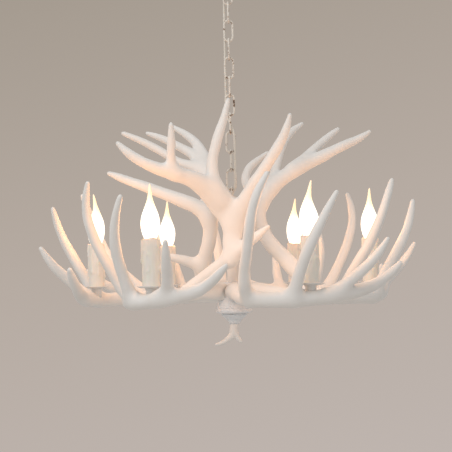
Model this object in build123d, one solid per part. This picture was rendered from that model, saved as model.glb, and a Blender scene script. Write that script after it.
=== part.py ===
from build123d import *
import math
import os

# Six-light antler chandelier on a chain, millimetres, +Z up.
# The origin is the centre of the ceiling bracket's top face, in the plane of the ceiling.
# Nine cast-resin antlers: six make the lower ring and carry a candle each, three stand round the column.

os.makedirs("parts", exist_ok=True)

# --- Ceiling fitting ---
BRACKET_LENGTH, BRACKET_WIDTH, BRACKET_THICK = 96.0, 22.0, 2.5
CEILING_HOLE_D, CEILING_HOLE_SPACING = 5.0, 76.0
CANOPY_D, CANOPY_DEPTH, CANOPY_WALL = 120.0, 30.0, 1.4
CANOPY_LIP = 4.0
BLOCK_LENGTH, BLOCK_WIDTH, BLOCK_HEIGHT = 26.0, 14.0, 10.0
BLOCK_OFFSET = -30.0
HANGER_D, HANGER_BORE_D = 10.0, 6.0
LOOP_WIRE_D, LOOP_RADIUS = 5.0, 9.0
LOOP_BOSS_D, LOOP_BOSS_HEIGHT = 16.0, 10.0

# --- Chain ---
LINK_COUNT = 12
LINK_WIRE_D = 4.2
LINK_INNER_LENGTH = 38.1
LINK_INNER_WIDTH = 12.6
LINK_GAP = 0.3
WIRE_SIDES = 8
BOW_STEPS = 8

# --- Flex threaded through the chain ---
FLEX_D = 4.5
FLEX_SIDE = 8.0
FLEX_CLEARANCE = 1.0
FLEX_CROSSING = 9
FLEX_EXIT_DROP = 8.0

# --- Column and hub (heights above the level of the lower antlers) ---
LEVEL_TO_LOOP_BOSS = 194.0
COLUMN_D, COLUMN_BORE_D = 24.0, 11.0
ROD_D, ROD_BORE_D, ROD_CLEARANCE = 10.0, 6.5, 0.25
HUB_TOP_R, HUB_BASE_R = 23.0, 35.0
HUB_TOP, HUB_BASE = 32.0, -21.0
RIM_D, RIM_THICK = 72.0, 10.0
CUP_D, CUP_NECK_D, CUP_HEIGHT = 50.0, 20.0, 20.0
FINIAL_GAP = 0.4
FINIAL_STEM_D, FINIAL_TIP_D = 15.0, 4.0

# --- Lower antlers ---
SLOTS = {"a": 0.0, "b": -60.0, "c": -120.0, "d": 180.0, "e": 120.0, "f": 60.0}
YAW = {"a": 1.0, "b": -2.0, "c": 1.5, "d": 2.5, "e": 0.5, "f": -4.0}
BEAM_D = 27.0
BUTT_D = 35.0
TINE_D, BLUNT_D = 18.0, 8.0
LIMB_SIDES = 10
HUB_FIT = 0.3
TRIM_RADIUS, TRIM_HALF_ANGLE = 52.0, 27.0
BUTT_HEIGHT = 13.0
STUD_D, STUD_INNER, STUD_OUTER, STUD_CLEARANCE = 8.0, 15.0, 58.0, 0.2

# --- Candles ---
CANDLE_X, CANDLE_Y = 133.0, -240.0
SEAT_HEIGHT = 6.0
NECK_D, NECK_HEIGHT = 20.0, 19.0
SEAT_CLEARANCE = 0.5
PAN_D, PAN_THICK, PAN_RIM = 54.0, 1.6, 3.5
SLEEVE_D, SLEEVE_WALL, SLEEVE_HEIGHT = 34.0, 2.5, 88.0
HOLDER_D, HOLDER_HEIGHT = 27.0, 80.0
SOCKET_D, SOCKET_DEPTH = 14.4, 24.0
NIPPLE_D, NIPPLE_LENGTH, NIPPLE_SINK, NIPPLE_CLEARANCE = 10.0, 44.0, 12.0, 0.2
BULB_CAP_D, BULB_CAP_HEIGHT = 13.8, 22.0
BULB_D, BULB_HEIGHT = 35.0, 107.0

# --- Upper antlers ---
STEM_D = 28.0
SEAT_PLANE = 15.0
UPPER_SEAT_D = 50.0
SPIDER_HEIGHT, SPIDER_Z = 14.0, 178.0
SPIDER_D, ARM_D, ARM_BITE, ARM_CLEARANCE = 36.0, 10.0, 10.0, 0.2
DOWEL_D, DOWEL_HALF, DOWEL_CLEARANCE = 6.0, 9.0, 0.2

# --- Heights that follow ---
LINK_PITCH = LINK_INNER_LENGTH - LINK_GAP
LINK_RADIUS = (LINK_INNER_WIDTH + LINK_WIRE_D) / 2
LOOP_HANG = (LOOP_WIRE_D + LINK_WIRE_D) / 2 + LINK_GAP
LOOP_Z = -CANOPY_DEPTH - LOOP_BOSS_HEIGHT - LOOP_RADIUS
FIRST_LINK_TOP = LOOP_Z - LOOP_RADIUS + LOOP_HANG
LAST_LINK_LOW = FIRST_LINK_TOP - (LINK_COUNT - 1) * LINK_PITCH - LINK_INNER_LENGTH - LINK_WIRE_D
BODY_LOOP_Z = LAST_LINK_LOW + LOOP_HANG - LOOP_RADIUS
BODY_BOSS_LOW = BODY_LOOP_Z - LOOP_RADIUS - LOOP_BOSS_HEIGHT
LEVEL_Z = BODY_BOSS_LOW - LEVEL_TO_LOOP_BOSS
NECK_TOP = SEAT_HEIGHT + NECK_HEIGHT
PAN_TOP = NECK_TOP + PAN_THICK
SLEEVE_TOP = PAN_TOP + SLEEVE_HEIGHT
HOLDER_TOP = PAN_TOP + HOLDER_HEIGHT


def save(name, shape):
    """Write one sub-part and print its volume."""
    solids = shape.solids()
    export_step(Compound(solids) if len(solids) > 1 else solids[0], f"parts/{name}.step")
    print(f"{name:20s} solids {len(solids)}  volume {sum(s.volume for s in solids):10.0f}")


def at_level(shape):
    """Move a shape drawn about the lower antlers' level to its place under the chain."""
    return shape.moved(Location((0, 0, LEVEL_Z)))


def rod(start, end, diameter):
    """A round bar from one point to another."""
    start, end = Vector(*start), Vector(*end)
    plane = Plane(origin=start, z_dir=end - start)
    return plane * Pos(0, 0, (end - start).length / 2) * Cylinder(diameter / 2, (end - start).length)


def turned(points):
    """A solid of revolution about Z from a closed profile of (radius, height) points."""
    return revolve(Plane.XZ * make_face(Polyline(*points, close=True)), Axis.Z)


def smoothed(stations, steps):
    """Stations on a Catmull-Rom curve, so that a few chosen points give an even bend and taper."""
    rows, last = [], len(stations) - 1
    for i in range(last):
        near = [stations[min(max(i + k, 0), last)] for k in (-1, 0, 1, 2)]
        for step in range(steps):
            t = step / steps
            weights = (
                -t / 2 + t**2 - t**3 / 2,
                1 - 2.5 * t**2 + 1.5 * t**3,
                t / 2 + 2 * t**2 - 1.5 * t**3,
                -(t**2) / 2 + t**3 / 2,
            )
            rows.append([sum(w * p[k] for w, p in zip(weights, near)) for k in range(len(stations[0]))])
    return rows + [list(stations[-1])]


def limb(stations, steps=2, across=None):
    """A tapering antler limb lofted through rings; a station is x, y, z, width and thickness.

    The width lies along `across`, or else level, square to the limb at its first ring, and is carried along it.
    """
    rows = smoothed(stations, steps)
    points = [Vector(*row[:3]) for row in rows]
    side, rings = Vector(*across) if across else None, []
    for i, row in enumerate(rows):
        along = (points[min(i + 1, len(points) - 1)] - points[max(i - 1, 0)]).normalized()
        if side is None:
            side = along.cross(Vector(0, 0, 1)) if abs(along.Z) < 0.95 else Vector(1, 0, 0)
        side = (side - along * side.dot(along)).normalized()
        up = along.cross(side)
        corners = []
        for k in range(LIMB_SIDES):
            turn = 2 * math.pi * (k + 0.5) / LIMB_SIDES
            corners.append(
                points[i] + side * (math.cos(turn) * row[3] / 2) + up * (math.sin(turn) * row[4] / 2)
            )
        rings.append(Face(Wire.make_polygon(corners, close=True)))
    return loft(rings, ruled=True)


def grown(*stations, steps=1, across=None):
    """An antler limb from stations of x, y, z, width and, where it is flatter, thickness."""
    return limb([(*p[:4], p[-1]) for p in stations], steps, across)


def wire_ring(path, diameter):
    """A closed ring of wire: mitred polygons carried round a flat path in the XZ plane and lofted on."""
    rings, count = [], len(path)
    for i in range(count):
        before, here, after = Vector(*path[i - 1]), Vector(*path[i]), Vector(*path[(i + 1) % count])
        outward = (here - before).normalized() - (after - here).normalized()
        out = outward.normalized()
        spread = 1 / math.sqrt(max(1 - outward.length**2 / 4, 0.5))
        corners = []
        for k in range(WIRE_SIDES):
            turn = 2 * math.pi * k / WIRE_SIDES
            corners.append(here + out * (spread * math.cos(turn) * diameter / 2)
                           + Vector(0, math.sin(turn) * diameter / 2, 0))
        rings.append(corners)
    faces = []
    for here, after in zip(rings, rings[1:] + rings[:1]):
        for k in range(WIRE_SIDES):
            n = (k + 1) % WIRE_SIDES
            faces.append(Face(Wire.make_polygon([here[k], here[n], after[n], after[k]], close=True)))
    return Solid(Shell(faces))


def arc_points(radius, middle_z, first, last, steps):
    """Points round an arc in the XZ plane, angles in degrees from +X towards +Z."""
    turns = [math.radians(first + (last - first) * i / steps) for i in range(steps + 1)]
    return [(radius * math.cos(t), 0, middle_z + radius * math.sin(t)) for t in turns]


def chain_link(top_z, edge_on):
    """One welded oval link: two straight legs and two half-round bows of the same wire."""
    straight = LINK_INNER_LENGTH + LINK_WIRE_D - 2 * LINK_RADIUS
    upper = arc_points(LINK_RADIUS, straight / 2, 0, 180, BOW_STEPS)
    lower = arc_points(LINK_RADIUS, -straight / 2, 180, 360, BOW_STEPS)
    link = wire_ring(upper + lower, LINK_WIRE_D)
    middle = top_z - LINK_RADIUS - straight / 2
    return Pos(0, 0, middle) * Rot(0, 0, 90 if edge_on else 0) * link


# --- Ceiling fitting: strap, canopy, hollow hanger, loop and terminal block ---
hanger_low = -CANOPY_DEPTH - LOOP_BOSS_HEIGHT + 1.0
bracket = Pos(0, 0, -BRACKET_THICK / 2) * Box(BRACKET_LENGTH, BRACKET_WIDTH, BRACKET_THICK)
bracket = fillet(bracket.edges().filter_by(Axis.Z), 6.0)
for x in (-CEILING_HOLE_SPACING / 2, CEILING_HOLE_SPACING / 2):
    bracket -= Pos(x, 0, -BRACKET_THICK / 2) * Cylinder(CEILING_HOLE_D / 2, 2 * BRACKET_THICK)
bracket -= Cylinder(HANGER_D / 2 + ROD_CLEARANCE, 4 * BRACKET_THICK)
save("ceiling_bracket", bracket)

canopy_r = CANOPY_D / 2
inner_r, flat_r = canopy_r - CANOPY_WALL, canopy_r * 0.42
outline = Line((canopy_r, 0), (canopy_r, -CANOPY_LIP))
outline += Spline((canopy_r, -CANOPY_LIP), (canopy_r * 0.8, -CANOPY_DEPTH * 0.62), (flat_r, -CANOPY_DEPTH))
outline += Line((flat_r, -CANOPY_DEPTH), (0, -CANOPY_DEPTH)) + Line((0, -CANOPY_DEPTH), (0, 0))
outline += Line((0, 0), (canopy_r, 0))
hollow = Line((inner_r, 0), (inner_r, -CANOPY_LIP))
hollow += Spline(
    (inner_r, -CANOPY_LIP),
    (canopy_r * 0.8 - CANOPY_WALL, -CANOPY_DEPTH * 0.62 + CANOPY_WALL / 2),
    (flat_r, -CANOPY_DEPTH + CANOPY_WALL),
)
hollow += Line((flat_r, -CANOPY_DEPTH + CANOPY_WALL), (0, -CANOPY_DEPTH + CANOPY_WALL))
hollow += Line((0, -CANOPY_DEPTH + CANOPY_WALL), (0, 0)) + Line((0, 0), (inner_r, 0))
canopy = revolve(Plane.XZ * make_face(outline), Axis.Z) - revolve(Plane.XZ * make_face(hollow), Axis.Z)
canopy -= Pos(0, 0, -CANOPY_DEPTH) * Cylinder(HANGER_D / 2 + ROD_CLEARANCE, 4 * CANOPY_WALL)
canopy -= Pos(-FLEX_SIDE, FLEX_SIDE, -CANOPY_DEPTH) * Cylinder(FLEX_D / 2 + FLEX_CLEARANCE, 4 * CANOPY_WALL)
save("canopy", canopy)

hanger = rod((0, 0, -0.2), (0, 0, hanger_low), HANGER_D) - rod((0, 0, 1), (0, 0, hanger_low - 1), HANGER_BORE_D)
save("hanger_tube", hanger)


def eye(loop_z, boss_low, edge_on):
    """A cast loop on a round boss, drilled from its far side for the tube or rod that it screws on."""
    ring = Rot(90, 0, 0) * Torus(LOOP_RADIUS, LOOP_WIRE_D / 2)
    ring = Pos(0, 0, loop_z) * Rot(0, 0, 90 if edge_on else 0) * ring
    boss = Pos(0, 0, boss_low + LOOP_BOSS_HEIGHT / 2) * Cylinder(LOOP_BOSS_D / 2, LOOP_BOSS_HEIGHT)
    return boss + ring


ceiling_loop = eye(LOOP_Z, -CANOPY_DEPTH - LOOP_BOSS_HEIGHT, False)
ceiling_loop -= Pos(0, 0, -CANOPY_DEPTH) * Cylinder(HANGER_D / 2 + ROD_CLEARANCE, 2 * (LOOP_BOSS_HEIGHT - 1.0))
save("ceiling_loop", ceiling_loop)

block_low = -BRACKET_THICK - BLOCK_HEIGHT
block = Pos(BLOCK_OFFSET, FLEX_SIDE, block_low + BLOCK_HEIGHT / 2) * Box(BLOCK_LENGTH, BLOCK_WIDTH, BLOCK_HEIGHT)
block = chamfer(block.edges().filter_by(Axis.X), 1.5)
for k in (-1, 0, 1):
    x = BLOCK_OFFSET + k * BLOCK_LENGTH / 3.2
    block -= Pos(x, FLEX_SIDE, block_low) * Cylinder(1.8, 6.0)
save("terminal_block", block)

# --- Chain links, turned a quarter from one to the next ---
for number in range(LINK_COUNT):
    save(f"chain_link_{number + 1:02d}", chain_link(FIRST_LINK_TOP - number * LINK_PITCH, number % 2 == 0))

# --- Column: tube, inner rod, loop and the spider that holds the upper antlers ---
body_loop = eye(BODY_LOOP_Z, BODY_BOSS_LOW, True)
body_loop -= Pos(0, 0, BODY_BOSS_LOW) * Cylinder(ROD_D / 2 + ROD_CLEARANCE, 2 * (LOOP_BOSS_HEIGHT - 2.0))
body_loop -= Pos(0, 0, BODY_BOSS_LOW) * Cylinder(FLEX_D / 2 + FLEX_CLEARANCE, 2 * (LOOP_BOSS_HEIGHT + 4.0))
save("body_loop", body_loop)
column = rod((0, 0, HUB_TOP), (0, 0, LEVEL_TO_LOOP_BOSS), COLUMN_D)
column -= rod((0, 0, HUB_TOP - 1), (0, 0, LEVEL_TO_LOOP_BOSS + 1), COLUMN_BORE_D)
save("column_tube", at_level(column))
finial_top = HUB_BASE - RIM_THICK - FINIAL_GAP
rod_low = finial_top - CUP_HEIGHT * 0.6
rod_high = LEVEL_TO_LOOP_BOSS + LOOP_BOSS_HEIGHT - 3.0
threaded = rod((0, 0, rod_low), (0, 0, rod_high), ROD_D) - rod((0, 0, rod_low - 1), (0, 0, rod_high + 1), ROD_BORE_D)
save("threaded_tube", at_level(threaded))

# --- Hub: the white cone that the six butts are screwed to, and the rim plate under it ---
rod_hole = rod((0, 0, rod_low - 20), (0, 0, LEVEL_TO_LOOP_BOSS), ROD_D + 2 * ROD_CLEARANCE)
hub_profile = ((0, HUB_TOP), (HUB_TOP_R, HUB_TOP), (HUB_BASE_R, HUB_BASE), (0, HUB_BASE))
hub = turned(hub_profile) - rod_hole
hub_reach = turned([(r + HUB_FIT * (r > 0), z) for r, z in hub_profile])
rim_r = RIM_D / 2
rim = turned((
    (0, HUB_BASE), (rim_r - 5, HUB_BASE), (rim_r - 1.5, HUB_BASE - 1.5), (rim_r, HUB_BASE - RIM_THICK / 2),
    (rim_r - 1.5, HUB_BASE - RIM_THICK + 2), (rim_r - 8, HUB_BASE - RIM_THICK), (0, HUB_BASE - RIM_THICK),
)) - rod_hole
save("hub_rim_plate", at_level(rim))

# --- Lower antler, drawn pointing to -Y: butt at the hub, beam out and round, tines up and outwards ---
SEAT_BACK = 9.0
BUTT_END = (0, -HUB_TOP_R, BUTT_HEIGHT, BUTT_D)
lower_beam = grown(
    BUTT_END, (1, -48, BUTT_HEIGHT, BUTT_D + 1), (4, -80, 10, BEAM_D + 2), (9, -145, 4, BEAM_D),
    (16, -200, 3, BEAM_D + 2), (34, -234, 1, BEAM_D + 3), (62, -252, 0, BEAM_D + 2), (98, -260, 0, BEAM_D + 2),
    (134, -250, 1, BEAM_D + 4, BEAM_D + 1), (166, -240, 4, BEAM_D + 3, BEAM_D + 1), (200, -226, 9, BEAM_D),
    (230, -211, 15, BEAM_D - 3), (254, -199, 23, 21), (276, -190, 36, 18), (293, -184, 49, 15), (307, -178, 62, BLUNT_D),
    steps=2)
first_tine = grown(
    (22, -222, 0, 36), (17, -236, 13, 31), (14, -248, 26, 25), (14, -267, 55, TINE_D + 3), (18, -290, 90, TINE_D + 2),
    (22, -308, 125, TINE_D + 1), (28, -321, 160, TINE_D - 1), (39, -327, 192, TINE_D - 3), (55, -329, 221, BLUNT_D))
second_tine = grown(
    (98, -256, 0, 36), (101, -266, 12, 31), (105, -275, 26, 25), (111, -286, 50, TINE_D + 3), (123, -302, 85, TINE_D + 2),
    (140, -313, 120, TINE_D), (156, -317, 152, TINE_D - 3), (176, -315, 188, BLUNT_D))
third_tine = grown(
    (168, -238, 6, 32), (184, -236, 16, 27), (200, -239, 28, 22), (220, -248, 45, TINE_D + 2), (241, -259, 65, TINE_D),
    (256, -267, 84, TINE_D - 3), (269, -274, 105, BLUNT_D))
lower_antler = lower_beam + first_tine + second_tine + third_tine
lower_antler -= Pos(CANDLE_X, CANDLE_Y, SEAT_HEIGHT + 30) * Cylinder(NECK_D / 2 + SEAT_CLEARANCE, 60)
lower_antler -= Pos(CANDLE_X, CANDLE_Y, SEAT_HEIGHT) * Cylinder(
    NIPPLE_D / 2 + NIPPLE_CLEARANCE, 2 * NIPPLE_SINK)
wedge_reach = 2 * TRIM_RADIUS
wedge_side = wedge_reach * math.tan(math.radians(TRIM_HALF_ANGLE))
wedge = extrude(Polygon((0, 0), (-wedge_side, -wedge_reach), (wedge_side, -wedge_reach), align=None), 80, both=True)
lower_antler -= Cylinder(TRIM_RADIUS, 150) - wedge
lower_antler -= hub_reach
stud = rod((0, -STUD_INNER, BUTT_HEIGHT), (0, -STUD_OUTER, BUTT_HEIGHT), STUD_D)
stud_hole = rod((0, -STUD_INNER + 1, BUTT_HEIGHT), (0, -STUD_OUTER - 1, BUTT_HEIGHT), STUD_D + 2 * STUD_CLEARANCE)
lower_antler -= stud_hole

# --- Upper antlers: each sits on a lower beam, leans in to the column and fans out above it ---
FACING = (1, 0, 0)
front = grown(
    (-92, -52, 14, 30), (-66, -54, 34, 29), (-38, -64, 54, STEM_D), (-8, -74, 78, 27), (19, -81, 100, 23),
    (45, -87, 119, 19), (70, -92, 139, BLUNT_D))
front += grown(
    (-4, -74, 74, STEM_D), (-3, -66, 106, 34, 27), (0, -62, 132, 40, 27), (0, -61, 158, 52, 27), (-8, -65, 180, 66, 27),
    (-26, -76, 204, 64, 25), (-50, -92, 222, 48, 24), (-78, -109, 233, 36, 22), (-110, -126, 241, 30, 21),
    (-140, -138, 250, 24, 20), (-168, -147, 262, 20, 18), (-194, -151, 279, 17, 16), (-215, -150, 299, BLUNT_D),
    across=FACING)
front += grown(
    (-18, -70, 186, 44, 26), (-30, -80, 212, 38, 26), (-37, -85, 240, 28, 24), (-36, -83, 272, 22), (-27, -78, 309, 19),
    (-14, -74, 349, 16), (-3, -72, 391, BLUNT_D), across=FACING)
front += grown(
    (-102, -120, 236, 34, 22), (-111, -129, 250, 24, 20), (-114, -139, 270, 18), (-113, -148, 300, 16),
    (-112, -158, 333, BLUNT_D), across=FACING)
front += grown(
    (-2, -62, 156, 44, 26), (12, -67, 178, 40, 26), (30, -78, 202, 30, 25), (47, -91, 226, 24), (64, -102, 250, 22),
    (80, -111, 274, 21), (96, -120, 300, 19), (107, -129, 325, 15), (113, -136, 349, BLUNT_D), across=FACING)

left = grown(
    (-8, 93, 20, STEM_D), (-46, 86, 28, 29), (-63, 66, 46, 31), (-63, 50, 64, 31), (-56, 40, 88, 29), (-48, 32, 116, STEM_D),
    (-45, 28, 146, 29), (-54, 29, 170, 34, 30), (-74, 36, 188, 30), (-104, 48, 202, 27), (-140, 62, 217, 25),
    (-176, 74, 232, 22), (-206, 82, 244, 19), (-234, 87, 255, 16), (-258, 90, 265, BLUNT_D))
left += grown(
    (-46, 27, 160, 24), (-43, 42, 192, 27), (-40, 62, 222, 30, 27), (-46, 82, 250, 36, 25), (-60, 96, 266, 32, 22),
    (-84, 106, 277, 21), (-112, 113, 289, 18), (-148, 121, 312, 17), (-192, 129, 337, 15), (-231, 132, 354, BLUNT_D))
left += grown(
    (-48, 86, 250, 30, 24), (-60, 106, 276, 26, 22), (-84, 132, 306, 19), (-115, 149, 327, 17), (-147, 160, 344, 15),
    (-182, 168, 358, BLUNT_D))
left += grown(
    (-44, 78, 242, 30, 24), (-48, 104, 276, 26, 23), (-58, 127, 304, 23), (-73, 148, 330, 20), (-95, 167, 352, 17),
    (-129, 189, 375, BLUNT_D))
left += grown((-56, 46, 64, 30), (-78, 45, 71, 23), (-104, 41, 79, 20), (-126, 37, 85, 15), (-142, 34, 89, BLUNT_D))

right = grown(
    (142, -80, 16, 32), (137, -60, 34, 33), (124, -42, 51, 33), (103, -18, 77, 31), (80, 4, 103, 30), (64, 22, 130, 29),
    (55, 31, 163, 29), (60, 36, 192, 32), (75, 42, 216, 33), (98, 50, 238, 31), (130, 62, 260, 30), (178, 82, 284, 26),
    (230, 96, 310, 21), (272, 106, 329, 16), (297, 112, 345, BLUNT_D))
right += grown((128, 60, 258, 28), (150, 78, 282, 20), (170, 101, 302, 18), (206, 130, 334, 16), (234, 145, 356, BLUNT_D))
right += grown((76, 40, 216, 30), (86, 62, 246, 20), (102, 96, 296, 17), (124, 126, 342, 16), (157, 143, 369, BLUNT_D))
right += grown(
    (62, 38, 192, 30), (44, 52, 212, 22), (30, 74, 240, 18), (36, 92, 266, 17), (53, 101, 284, 15), (80, 109, 304, BLUNT_D))

# Each upper butt sits flat on the beam of the lower antler named here, at this point.
UPPER = {"front": (front, "b", (-86, -52)), "left": (left, "d", (-12, 92)), "right": (right, "f", (138, -76))}
STEM_POINTS = {"front": (-5, -65), "left": (-62, 32), "right": (57, 34)}
seat_box = 2 * UPPER_SEAT_D
dowels = []
for place, (antler, carrier, (x, y)) in UPPER.items():
    antler -= Pos(x, y, SEAT_PLANE - 50) * Box(seat_box, seat_box, 100)
    sx, sy = STEM_POINTS[place]
    reach = math.hypot(sx, sy)
    tip = (sx * (1 - (STEM_D / 2 - ARM_BITE) / reach), sy * (1 - (STEM_D / 2 - ARM_BITE) / reach), SPIDER_Z)
    antler -= rod((0, 0, SPIDER_Z), tip, ARM_D + 2 * ARM_CLEARANCE)
    antler -= Pos(x, y, SEAT_PLANE) * Cylinder(DOWEL_D / 2 + DOWEL_CLEARANCE, 2 * DOWEL_HALF + 1)
    dowels.append(Pos(x, y, SEAT_PLANE) * Cylinder(DOWEL_D / 2, 2 * DOWEL_HALF))
    save(f"upper_antler_{place}", at_level(antler))
save("seat_dowels", at_level(Compound(dowels)))

# --- Lower antlers in their slots ---
studs, stud_holes = [], []
for name, slot in SLOTS.items():
    place = Rot(0, 0, slot + YAW[name])
    antler = place * lower_antler
    for _, carrier, (x, y) in UPPER.values():
        if carrier == name:
            antler -= Pos(x, y, SEAT_PLANE + 30) * Box(UPPER_SEAT_D, UPPER_SEAT_D, 60)
            antler -= Pos(x, y, SEAT_PLANE) * Cylinder(DOWEL_D / 2 + DOWEL_CLEARANCE, 2 * DOWEL_HALF + 1)
    save(f"lower_antler_{name}", at_level(antler))
    studs.append(place * stud)
    stud_holes.append(place * stud_hole)
save("butt_studs", at_level(Compound(studs)))
for hole in stud_holes:
    hub -= hole
save("hub_cone", at_level(hub))

spider = Pos(0, 0, SPIDER_Z) * Cylinder(SPIDER_D / 2, SPIDER_HEIGHT)
for sx, sy in STEM_POINTS.values():
    reach = math.hypot(sx, sy)
    share = 1 - (STEM_D / 2 - ARM_BITE + 0.5) / reach
    spider += rod((0, 0, SPIDER_Z), (sx * share, sy * share, SPIDER_Z), ARM_D)
spider -= Pos(0, 0, SPIDER_Z) * Cylinder(COLUMN_D / 2 + ARM_CLEARANCE, 2 * SPIDER_HEIGHT)
save("spider_collar", at_level(spider))

# --- Candles: nipple, neck, drip pan, holder, sleeve and bulb on each lower antler ---
nipple = Pos(0, 0, SEAT_HEIGHT - NIPPLE_SINK + 0.5 + NIPPLE_LENGTH / 2) * Cylinder(NIPPLE_D / 2, NIPPLE_LENGTH)
nipple_hole = Pos(0, 0, SEAT_HEIGHT + NECK_HEIGHT) * Cylinder(NIPPLE_D / 2 + NIPPLE_CLEARANCE, 100)
neck = turned((
    (0, SEAT_HEIGHT), (NECK_D / 2, SEAT_HEIGHT), (NECK_D / 2, NECK_TOP - 4), (NECK_D / 2 + 2, NECK_TOP), (0, NECK_TOP),
)) - nipple_hole
pan_r = PAN_D / 2
pan = turned((
    (0, NECK_TOP), (pan_r - 6, NECK_TOP), (pan_r, NECK_TOP + PAN_RIM - 0.8), (pan_r - 0.4, NECK_TOP + PAN_RIM),
    (pan_r - 1.2, NECK_TOP + PAN_RIM - 0.2), (pan_r - 6.6, PAN_TOP), (0, PAN_TOP),
)) - nipple_hole
nipple_top = SEAT_HEIGHT - NIPPLE_SINK + 0.5 + NIPPLE_LENGTH
holder = Pos(0, 0, PAN_TOP + HOLDER_HEIGHT / 2) * Cylinder(HOLDER_D / 2, HOLDER_HEIGHT)
holder -= Pos(0, 0, HOLDER_TOP) * Cylinder(SOCKET_D / 2, 2 * SOCKET_DEPTH)
holder -= rod((0, 0, PAN_TOP - 1), (0, 0, nipple_top + 0.5), NIPPLE_D + 2 * NIPPLE_CLEARANCE)
sleeve_r = SLEEVE_D / 2
sleeve = turned((
    (sleeve_r - SLEEVE_WALL, PAN_TOP), (sleeve_r, PAN_TOP), (sleeve_r, SLEEVE_TOP - 3), (sleeve_r - 0.6, SLEEVE_TOP - 0.8),
    (sleeve_r - 1.4, SLEEVE_TOP), (sleeve_r - SLEEVE_WALL, SLEEVE_TOP - 0.8),
))
cap = Pos(0, 0, HOLDER_TOP - BULB_CAP_HEIGHT / 2) * Cylinder(BULB_CAP_D / 2, BULB_CAP_HEIGHT)
bulb_r = BULB_D / 2
glass_profile = [(0.0, 0.0), (0.36, 0.0), (0.42, 0.03), (0.7, 0.1), (0.93, 0.22), (1.0, 0.34), (0.88, 0.46),
                 (0.6, 0.59), (0.38, 0.7), (0.24, 0.8), (0.15, 0.9), (0.07, 1.0), (0.0, 1.0)]
glass = turned([(r * bulb_r, HOLDER_TOP + h * BULB_HEIGHT) for r, h in glass_profile])

groups = {"candle_nipples": [], "candle_necks": [], "drip_pans": [], "lamp_holders": []}
pieces = {"candle_nipples": nipple, "candle_necks": neck, "drip_pans": pan, "lamp_holders": holder}
for number, (name, slot) in enumerate(SLOTS.items(), 1):
    place = Pos(0, 0, LEVEL_Z) * Rot(0, 0, slot + YAW[name]) * Pos(CANDLE_X, CANDLE_Y, 0)
    for group, piece in pieces.items():
        groups[group].append(place * piece)
    save(f"candle_sleeve_{name}", place * sleeve)
    save(f"bulb_{name}", Compound([(place * glass).solid(), (place * cap).solid()]))
for group, made in groups.items():
    save(group, Compound([m.solid() for m in made]))

# --- Finial: turned cup and a small forked antler tip under the hub ---
cup_r, cup_neck_r = CUP_D / 2, CUP_NECK_D / 2
cup_low = finial_top - CUP_HEIGHT
cup = turned((
    (0, finial_top), (cup_r, finial_top), (cup_r, finial_top - 2.5), (cup_r * 0.82, finial_top - CUP_HEIGHT * 0.35),
    (cup_neck_r * 1.25, finial_top - CUP_HEIGHT * 0.7), (cup_neck_r, cup_low), (0, cup_low),
)) - rod((0, 0, finial_top + 1), (0, 0, rod_low - 1), ROD_D + 2 * ROD_CLEARANCE)
save("finial_cup", at_level(cup))
fork_z = cup_low - 20
fork = limb([(0, 0, cup_low + 1, FINIAL_STEM_D, FINIAL_STEM_D), (-1, 0, cup_low - 10, 12, 12),
             (-4, 0, fork_z, 13, 11), (-14, 0, fork_z - 8, 8, 8), (-25, 0, fork_z - 14, 6, 6),
             (-36, 0, fork_z - 17, FINIAL_TIP_D, FINIAL_TIP_D)])
fork += limb([(-1, 0, fork_z + 4, 9, 9), (5, 0, fork_z - 4, 8, 8), (13, 0, fork_z - 13, FINIAL_TIP_D, FINIAL_TIP_D)])
fork -= Pos(0, 0, cup_low + 20) * Cylinder(CUP_D, 40)
save("finial_fork", at_level(fork))

# --- Flex: out of the terminal block, down beside the links, through one of them and into the column ---
crossing_z = FIRST_LINK_TOP - (FLEX_CROSSING - 1) * LINK_PITCH - LINK_INNER_LENGTH / 2 - LINK_WIRE_D / 2
flex_route = [
    (BLOCK_OFFSET + BLOCK_LENGTH / 2, FLEX_SIDE, -FLEX_EXIT_DROP), (-FLEX_SIDE, FLEX_SIDE, -FLEX_EXIT_DROP),
    (-FLEX_SIDE, FLEX_SIDE, crossing_z + 16), (FLEX_SIDE, -FLEX_SIDE, crossing_z - 16),
    (FLEX_SIDE, -FLEX_SIDE, BODY_LOOP_Z + LOOP_RADIUS), (0, 0, BODY_LOOP_Z - LOOP_RADIUS / 2),
    (0, 0, LEVEL_Z + HUB_TOP),
]
turns = [Vector(*p) for p in flex_route]
radii = []
for before, corner, after in zip(turns, turns[1:], turns[2:]):
    runs = (corner - before, after - corner)
    half_turn = math.radians(runs[0].get_angle(runs[1])) / 2
    radii.append(min(60.0, 0.45 * min(r.length for r in runs) / math.tan(half_turn)))
flex_line = FilletPolyline(*turns, radius=radii)
section = Plane(origin=turns[0], z_dir=turns[1] - turns[0]) * RegularPolygon(FLEX_D / 2, 8)
flex = sweep(section, path=flex_line)
save("supply_flex", flex)
print("flex length", round(flex_line.length, 1), "bend radii", [round(r, 1) for r in radii])
print("flex volume over length times section", round(flex.volume / (flex_line.length * section.area), 4))
print("level", round(LEVEL_Z, 2), "link pitch", round(LINK_PITCH, 2), "first link top", round(FIRST_LINK_TOP, 2))
print("body loop", round(BODY_LOOP_Z, 2), "sleeve top", round(LEVEL_Z + SLEEVE_TOP, 2))
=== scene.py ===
import math

import bpy
import numpy as np
from mathutils import Matrix


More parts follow.
